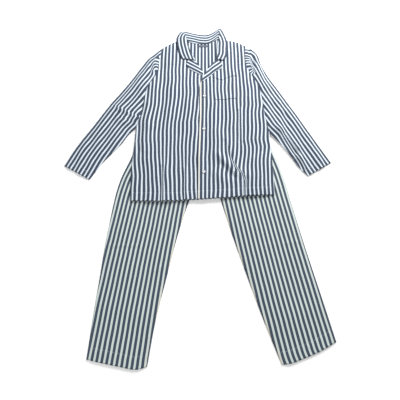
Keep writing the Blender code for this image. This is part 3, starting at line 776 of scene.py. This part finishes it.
left_flat, left_points = front(LEFT_FRONT_EDGE, LEFT_FRONT_HEM, LEFT_SHOULDER, LEFT_SIDE, LEFT_ARMHOLE,
                               left_front)
EDGE_AGE, EDGE_AGE_WIDTH, EDGE_AGE_TOP_Y = 0.75, 9 * MM, 480 * MM
from_edge = nearest(left_flat, outline(LEFT_FRONT_EDGE, 90))[0]
left_age = EDGE_AGE * (1 - ease((from_edge - EDGE_AGE_WIDTH) / (3 * MM)))
left_age = left_age * ease((EDGE_AGE_TOP_Y - left_flat[..., 1]) / (40 * MM))
panel("left_front", left_points, left_cut(left_flat), WALL, top_cotton, ["front_left"],
      age=left_age,
      with_pieces=[stitches("left_front_stitches", sideways(outline(LEFT_FRONT_HEM, 60), BODY_HEM)[:-1],
                            left_front)])

# ---------------------------------------------------------------------------------------------
# Sleeves: each one panel of the striped cotton, folded along its top, sewn under the arm and set
# into the armhole with a little fulness at the shoulder. The cuffs are plain stitched hems.
# ---------------------------------------------------------------------------------------------
SLEEVE_ROWS, SLEEVE_COLUMNS = 130, 84
SLEEVE_PITCH = 16.95 * MM
RIGHT_SLEEVE_BAR, LEFT_SLEEVE_BAR = 8.5 * MM, 4.5 * MM
# How the cloth runs along the armhole, in millimetres. Columns: down from the shoulder, across the stripes
RIGHT_CAP = [(0, -9), (20, -7), (27, 0), (33, 5.5), (64, 11), (76, 16.5), (84, 23), (95, 33),
             (110, 49.5), (127, 66), (152, 82.5), (190, 90)]
LEFT_CAP = [(0, -12), (22, -8), (26, -5), (34, 5), (44, 11), (52, 16.5), (71, 33),
            (84, 49.5), (103, 66), (124, 82.5), (150, 99), (190, 110)]


def sleeve(fold, seam, armhole, side, bar, cap_bars, cap_reach, cap_ends, tucks):
    """Grid and cut of a sleeve: stripes run beside the fold and turn square to the armhole near it.

    cap_reach is where that turn ends and starts, out from the armhole, and cap_ends where it is, down
    it, in millimetres.
    """
    start, end = outline(fold, SLEEVE_ROWS), outline(seam, SLEEVE_ROWS)
    hole = outline(armhole, SLEEVE_COLUMNS)[::-1]
    cap = sideways(hole, side * SEAM_GAP)
    cuff = np.linspace(start[-1], end[-1], SLEEVE_COLUMNS + 1)
    cap[0] += (start[1] - start[0]) / np.linalg.norm(start[1] - start[0]) * FOLD_LIFT
    start[0], end[0] = cap[0], cap[-1]
    flat = patch(start, end, cap, cuff)
    across, grain = nearest(flat, outline(fold, 90))
    across = (across - bar) * STRIPE / SLEEVE_PITCH
    from_hole, down = nearest(flat, hole)
    rows = np.array(cap_bars, float) * MM
    square = np.interp(down, rows[:, 0], rows[:, 1])
    near, far = cap_reach
    first, last = cap_ends
    turned = (1 - ease((from_hole / MM - near) / (far - near))) * (1 - ease((down / MM - last) / 50))
    turned = turned * ease((down / MM - first) / 30)
    across = across + turned * (square - across)
    for x0, y0, x1, y1, width, hidden in tucks:
        line = np.array([(x0, y0), (x1, y1)]) * MM
        step = (line[1] - line[0]) / np.linalg.norm(line[1] - line[0])
        inside = side * ((flat[..., 0] - line[0, 0]) * step[1] - (flat[..., 1] - line[0, 1]) * step[0])
        reach = ((flat - line[0]) * step).sum(-1) / np.linalg.norm(line[1] - line[0])
        within = ease(reach / 0.3) * ease((1.15 - reach) / 0.3)
        across = across + hidden * MM * ease(inside / (width * MM) + 0.5) * within
    return wrapped(flat, top_back, top_front, across, grain)


# Cloth hidden in a sleeve's folds, so that the stripes step there.
# Columns: x0, y0, x1, y1 of the fold, width over which the cloth goes in, how much
RIGHT_CUFF_HEM, LEFT_CUFF_HEM = [(-526, 11), (-420, -49)], [(528, 24), (431, -34)]
RIGHT_TUCKS = [(-385, 298, -250, 222, 12, 8), (-372, 230, -250, 172, 60, -7), (-350, 236, -262, 196, 10, 4),
               (-340, 195, -250, 150, 40, -4)]
LEFT_TUCKS = [(330, 205, 432, -25, 26, 12), (300, 560, 282, 380, 40, 9)]
sleeve_points, sleeve_cut = sleeve(RIGHT_SLEEVE_FOLD, RIGHT_SLEEVE_SEAM, RIGHT_ARMHOLE, -1, RIGHT_SLEEVE_BAR,
                                   RIGHT_CAP, (8, 34), (42, 125), RIGHT_TUCKS)
panel("right_sleeve", sleeve_points, sleeve_cut, WALL, top_cotton, ["sleeve_right"],
      with_pieces=[stitches("right_cuff_stitches", np.array(RIGHT_CUFF_HEM) * MM, top_front)])
sleeve_points, sleeve_cut = sleeve(LEFT_SLEEVE_FOLD, LEFT_SLEEVE_SEAM, LEFT_ARMHOLE, 1, LEFT_SLEEVE_BAR,
                                   LEFT_CAP, (20, 32), (-40, 140), LEFT_TUCKS)
panel("left_sleeve", sleeve_points, sleeve_cut, WALL, top_cotton, ["sleeve_left"],
      with_pieces=[stitches("left_cuff_stitches", np.array(LEFT_CUFF_HEM) * MM, top_front)])

# ---------------------------------------------------------------------------------------------
# Lapels: the turned-out parts of the front facings, cut from the same cotton. Each lies on its front
# from the roll outwards.
# ---------------------------------------------------------------------------------------------
LIE_ON = 2.0 * MM
LAPEL_ROLL_LIFT = 3.4 * MM
LAPEL_PUFF = 1.2 * MM
LAPEL_BAR = 8 * MM           # first blue bar, in from the free edge
# Columns: roll x, roll y, edge x, edge y
RIGHT_LAPEL = [(-15, 546, -50, 548), (-6, 533, -54, 524), (4, 517, -42, 502), (16, 492, -12, 478),
               (25, 469, 16, 460)]
LEFT_LAPEL = [(89, 553, 111, 536), (76, 540, 112, 512), (61, 523, 90, 489), (40, 484, 60, 457),
              (28, 457, 40, 436), (16, 429, 22, 418)]


def lapel(table, height, edge_line):
    """Grid and cut of a lapel: stripes run straight, beside the long part of its free edge."""
    rows = along(np.array(table), np.linspace(0, 1, 41)) * MM
    across = np.linspace(0, 1, 17)[:, None, None]
    flat = (1 - across) * rows[None, :, :2] + across * rows[None, :, 2:]
    rise = LAPEL_ROLL_LIFT + (LIE_ON - LAPEL_ROLL_LIFT) * across[..., 0]
    rise = rise + LAPEL_PUFF * np.sin(np.pi * across[..., 0])
    origin, end = np.array(edge_line) * MM
    step = (end - origin) / np.linalg.norm(end - origin)
    u = abs((flat[..., 0] - origin[0]) * step[1] - (flat[..., 1] - origin[1]) * step[0])
    v = ((flat - origin) * step).sum(-1)
    return raised(flat, height(flat) + rise), np.stack([u - LAPEL_BAR, v], axis=-1)


lapel_points, lapel_cut = lapel(RIGHT_LAPEL, top_front, ((-60, 515), (16, 460)))
panel("right_lapel", lapel_points, lapel_cut, WALL, top_cotton, ["facing_right"])
lapel_points, lapel_cut = lapel(LEFT_LAPEL, left_front, ((112, 511), (20, 417)))
panel("left_lapel", lapel_points, lapel_cut, WALL, top_cotton, ["facing_left"])

# ---------------------------------------------------------------------------------------------
# Collar: a strip of the same cotton with its stripes running lengthwise, sewn to the neckline. It
# stands flat behind the neck and is folded over at both sides.
# ---------------------------------------------------------------------------------------------
# Columns: seam x, y and z; z below the roll; roll x and y; z over the roll; edge x, y and z
COLLAR_SECTIONS = [
    (-37, 566, 6.7, 5.6, -15, 552, 16.0, -78, 562, 8.4),
    (-52, 592, 6.7, 5.6, -32, 590, 17.5, -89, 587, 8.4),
    (-62, 624, 6.7, 5.6, -43, 624, 18.0, -96, 614, 8.4),
    (-71, 652, 6.2, 5.6, -53, 664, 18.0, -103, 652, 8.4),
    (-75, 670, 5.6, 6.0, -60, 698, 17.0, -104, 692, 9.0),
    (-67, 687, 4.6, 6.6, -69, 722, 12.0, -84, 732, 9.0),
    (-49, 677, 3.2, 4.6, -53, 706, 6.0, -58, 736, 5.4),
    (-18, 664, 2.4, 3.2, -20, 697, 3.8, -26, 729, 2.2),
    (15, 661, 2.4, 3.0, 15, 692, 3.4, 15, 720, 1.8),
    (44, 661, 2.4, 3.0, 46, 690, 3.4, 44, 720, 2.0),
    (74, 677, 3.2, 4.6, 78, 707, 6.5, 80, 737, 5.4),
    (97, 690, 4.6, 6.6, 101, 730, 13.0, 107, 754, 9.4),
    (113, 678, 5.6, 6.0, 102, 702, 17.0, 130, 706, 9.4),
    (116, 654, 6.2, 5.6, 97, 670, 18.0, 140, 664, 8.6),
    (112, 624, 6.7, 5.6, 93, 630, 18.0, 139, 622, 8.4),
    (108, 592, 6.7, 5.6, 91, 591, 17.5, 136, 584, 8.4),
    (103, 568, 6.7, 5.6, 89, 558, 16.0, 124, 550, 8.4),
]
COLLAR_ROWS, COLLAR_COLUMNS = 32, 160
COLLAR_BAR = 4.5 * MM        # how far the first blue bar is shifted, in from the edge
rows = along(np.array(COLLAR_SECTIONS), np.linspace(0, 1, COLLAR_COLUMNS + 1)) * MM
seam, low, roll, high, edge = rows[:, 0:3], rows[:, 3], rows[:, 4:6], rows[:, 6], rows[:, 7:10]
turn = (8 * roll - seam[:, :2] - edge[:, :2]) / 6
t = np.linspace(0, 1, COLLAR_ROWS + 1)[:, None, None]
collar_points = (1 - t) ** 3 * seam + 3 * t * (1 - t) ** 2 * raised(turn, low)
collar_points = collar_points + 3 * t**2 * (1 - t) * raised(turn, high) + t**3 * edge
steps = np.linalg.norm(np.diff(collar_points, axis=0), axis=-1)
over = np.concatenate([np.zeros((1, COLLAR_COLUMNS + 1)), np.cumsum(steps, axis=0)])
collar_grain = np.broadcast_to(run(rows[:, :2])[None], over.shape)
collar_cut = np.stack([over[-1][None] - over - COLLAR_BAR, collar_grain], axis=-1)
panel("folded_collar", collar_points, collar_cut, WALL, top_cotton, ["collar"])

# ---------------------------------------------------------------------------------------------
# Chest pocket: a patch of the same cotton, matched to the stripes of the left front and topstitched
# to it on three sides. Its mouth sags a little.
# ---------------------------------------------------------------------------------------------
POCKET_BASE = [(73, 316), (122, 319), (172, 325)]
POCKET_CELLS = 40
POCKET_RISE = 1.12 * MM      # middle of its wall over that of the front
POCKET_GAPE = 1.0 * MM       # as much again at the mouth
STITCH_INSET = 2.2 * MM
pocket_mouth, pocket_base = outline(POCKET_MOUTH, POCKET_CELLS), outline(POCKET_BASE, POCKET_CELLS)
pocket_flat = patch(np.linspace(pocket_base[0], pocket_mouth[0], POCKET_CELLS + 1),
                    np.linspace(pocket_base[-1], pocket_mouth[-1], POCKET_CELLS + 1), pocket_base, pocket_mouth)
fractions = np.linspace(0, 1, POCKET_CELLS + 1)
pocket_across, pocket_up = np.meshgrid(fractions, fractions)
gape = POCKET_RISE + POCKET_GAPE * ease(np.sin(np.pi * pocket_across) * 2) * ease((pocket_up - 0.75) / 0.25)
pocket_sides = joined(np.linspace(pocket_mouth[0], pocket_base[0], 20), pocket_base,
                      np.linspace(pocket_base[-1], pocket_mouth[-1], 20))
panel("breast_pocket", raised(pocket_flat, left_front(pocket_flat) + gape), left_cut(pocket_flat), WALL,
      top_cotton, ["chest_pocket"],
      with_pieces=[stitches("pocket_stitches", sideways(pocket_sides, STITCH_INSET)[3:-3],
                            lambda flat: left_front(flat) + POCKET_RISE)])

# ---------------------------------------------------------------------------------------------
# Neck label: a bare woven satin tab sewn inside the back neck.
# ---------------------------------------------------------------------------------------------
LABEL_ENDS, LABEL_EDGES = (0, 47), (641, 653)
LABEL_RISE, LABEL_WALL, LABEL_RIB = 1.4 * MM, 0.7 * MM, 0.7 * MM
label_x, label_y = np.meshgrid(np.linspace(*LABEL_ENDS, 30) * MM, np.linspace(*LABEL_EDGES, 12) * MM)
label_flat = np.stack([label_x, label_y], axis=-1)
label_weave = Finish("label_weave", 0.55, 0.2)
label_cut = label_weave.node("ShaderNodeUVMap", {"uv_map": "cut"}, {}).outputs[0]
label_split = label_weave.node("ShaderNodeSeparateXYZ", {}, {0: label_cut})
label_rib = (label_weave.number(label_split.outputs[1]) * (TURN / LABEL_RIB)).wave() * 0.5 + 0.5
label_weave.show("Base Color", label_weave.mix(label_rib, (0.020, 0.030, 0.060, 1.0), (0.045, 0.062, 0.110, 1.0)))
label_bump = label_weave.node("ShaderNodeBump", {}, {"Strength": 0.4, "Distance": 0.2 * MM, "Height": label_rib})
label_weave.show("Normal", label_bump.outputs[0])
panel("woven_label", raised(label_flat, top_back(label_flat) + LABEL_RISE), label_flat, LABEL_WALL,
      label_weave.material, ["neck_label"])

# ---------------------------------------------------------------------------------------------
# Buttons: three four-hole shell buttons on the left front, turned with a raised rim and sewn on
# with crossed thread.
# ---------------------------------------------------------------------------------------------
BUTTON_CENTRES = [(29, 337), (26, 164), (24, -42)]
# Half outline from the middle of the face over the rim to the middle of the underside: radius, height
BUTTON_PROFILE = [(0.0, 1.55), (2.0, 1.5), (3.6, 1.6), (4.5, 2.3), (5.3, 2.6), (6.1, 2.3), (6.5, 1.5), (6.2, 0.6),
                  (5.2, 0.1), (3.0, 0.0), (0.0, 0.0)]
BUTTON_TURNS = 72
HOLE_PLACE, HOLE_RADIUS, HOLE_DEPTH = 1.15 * MM, 0.6 * MM, 1.0 * MM
FACE_RADIUS, FACE_LEAST_Z = 3.4 * MM, 1.2 * MM
CROSS_RISE = 1.62 * MM
CROSS = 1.3 * np.array([(-1, -1), (-1, 1), (-1.15, -0.85), (-1.15, 0.85), (-0.85, -1.15), (-0.85, 1.15)]) * MM
SLIT_ENDS, SLIT_HALF_WIDTH, SLIT_STITCH = (-7, 11), 1.5 * MM, 1.2 * MM
shell = Finish("shell", 0.28)
shell_place = shell.node("ShaderNodeTexCoord", {}, {}).outputs["Object"]
cloud = shell.node("ShaderNodeTexNoise", {}, {"Vector": shell_place, "Scale": 420.0, "Detail": 3.0}).outputs[0]
shell.show("Base Color", shell.mix(cloud, (0.62, 0.66, 0.68, 1.0), (0.86, 0.87, 0.84, 1.0)))
for count, centre in enumerate(BUTTON_CENTRES, start=1):
    at = np.array(centre) * MM
    under = left_front(at[None, None])[0, 0] + 1.1 * MM
    profile = along(BUTTON_PROFILE, np.linspace(0, 1, 96)) * MM
    angle = np.linspace(0, 2 * np.pi, BUTTON_TURNS, endpoint=False)
    x = profile[:, :1] * np.cos(angle)
    y = profile[:, :1] * np.sin(angle)
    hole = np.hypot(abs(x) - HOLE_PLACE, abs(y) - HOLE_PLACE)
    face = (profile[:, 1:] > FACE_LEAST_Z) & (profile[:, :1] < FACE_RADIUS)
    z = profile[:, 1:] - HOLE_DEPTH * np.exp(-(hole / HOLE_RADIUS) ** 4) * face
    index = np.arange(x.size).reshape(x.shape)
    after = np.roll(index, -1, axis=1)
    quads = np.stack([index[:-1], index[1:], after[1:], after[:-1]], axis=-1)
    piece = shown(f"shell_button_{count}", np.stack([x + at[0], y + at[1], z + under], axis=-1), quads,
                  shell.material)
    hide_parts(f"button_{count}")
    middle = np.array([at[0], at[1], under + CROSS_RISE])
    threads_between(f"button_thread_{count}", middle + raised(CROSS, np.zeros(6)),
                    middle + raised(-CROSS, np.zeros(6)), THREAD_RADIUS)

    # The buttonhole beneath is edged by short stitches on both sides, each reaching in towards the slit
    slit = np.linspace(*SLIT_ENDS, 26) * MM
    beside = [np.stack([np.full(26, at[0] + side * SLIT_HALF_WIDTH), at[1] + slit], axis=1) for side in (-1, 1)]
    outer = np.concatenate(beside)
    inner = outer + np.repeat([(SLIT_STITCH, 0), (-SLIT_STITCH, 0)], len(slit), axis=0)
    rise = WALL / 2 + 0.1 * MM
    threads_between(f"buttonhole_{count}", raised(outer, left_front(outer[None])[0] + rise),
                    raised(inner, left_front(inner[None])[0] + rise), 0.3 * MM)

# ---------------------------------------------------------------------------------------------
# The pale floor, the soft light and the camera
# ---------------------------------------------------------------------------------------------
floor_mesh = bpy.data.meshes.new("floor")
FLOOR_HALF, FLOOR_Z = 6, -0.0002
floor_corners = [(x * FLOOR_HALF, y * FLOOR_HALF, FLOOR_Z) for x, y in ((-1, -1), (1, -1), (1, 1), (-1, 1))]
floor_mesh.from_pydata(floor_corners, [], [(0, 1, 2, 3)])
floor_finish = Finish("floor_white", 0.9)
floor_finish.shader.inputs["Base Color"].default_value = (0.95, 0.95, 0.95, 1)
floor_finish.shader.inputs["Emission Color"].default_value = (1.0, 1.0, 1.0, 1)
floor_finish.shader.inputs["Emission Strength"].default_value = 0.16
floor_mesh.materials.append(floor_finish.material)
floor = bpy.data.objects.new("floor", floor_mesh)
bpy.context.scene.collection.objects.link(floor)

world = bpy.data.worlds.new("studio")
world.use_nodes = True
world.node_tree.nodes["Background"].inputs["Color"].default_value = (1.0, 1.0, 1.0, 1)
world.node_tree.nodes["Background"].inputs["Strength"].default_value = 0.26
bpy.context.scene.world = world
bpy.context.scene.view_settings.view_transform = "Standard"
# Columns: name, place, rotation, watts, side of the square
LAMPS = [
    ("key", (1.0, 2.0, 1.5), (-0.81, 0.58, 0), 112, 1.5),
    ("fill", (-1.6, -1.2, 2.6), (0.42, -0.50, 0), 36, 2.4),
]
for name, place, turn_to, power, size in LAMPS:
    lamp = bpy.data.lights.new(name, "AREA")
    lamp.energy = power
    lamp.size = size
    lamp_object = bpy.data.objects.new(name, lamp)
    lamp_object.location = place
    lamp_object.rotation_euler = turn_to
    bpy.context.scene.collection.objects.link(lamp_object)

camera = bpy.data.cameras.new("camera")
camera.sensor_width = 36
camera.lens = 30.98
camera_object = bpy.data.objects.new("camera", camera)
camera_object.location = (0.009, -0.685, 1.2402)
camera_object.rotation_euler = (np.radians(23), 0, 0)
bpy.context.scene.collection.objects.link(camera_object)
bpy.context.scene.camera = camera_object

bpy.context.view_layer.update()
